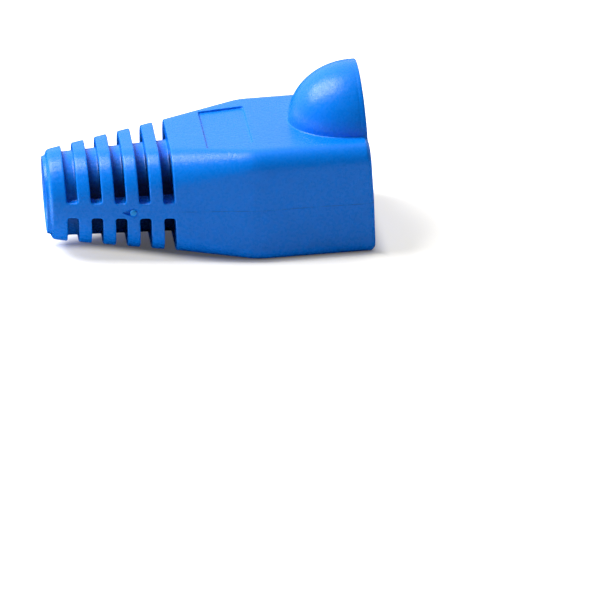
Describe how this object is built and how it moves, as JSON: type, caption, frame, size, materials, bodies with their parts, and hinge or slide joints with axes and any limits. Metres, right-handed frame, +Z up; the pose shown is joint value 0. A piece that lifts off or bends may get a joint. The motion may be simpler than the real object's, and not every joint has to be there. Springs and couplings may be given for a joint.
{
  "type": "strain relief boot",
  "caption": "Hollow moulded boot with a ribbed, flexible cable neck, a rectangular sleeve for a modular plug and a domed cover over its latch",
  "frame": {"origin": "centre of the boot's length and width, at the height of the flat underside", "axes": "+X runs along the cable axis from the cable end to the plug end, +Z points up to the latch cover, and Y is the width, which is symmetric"},
  "size_m": [0.0278, 0.0148, 0.0148],
  "materials": {
    "boot_plastic": "satin blue soft PVC with a fine spark-eroded grain"
  },
  "bodies": {
    "root": {"strain_relief_boot": "boot_plastic"}
  },
  "joints": []
}
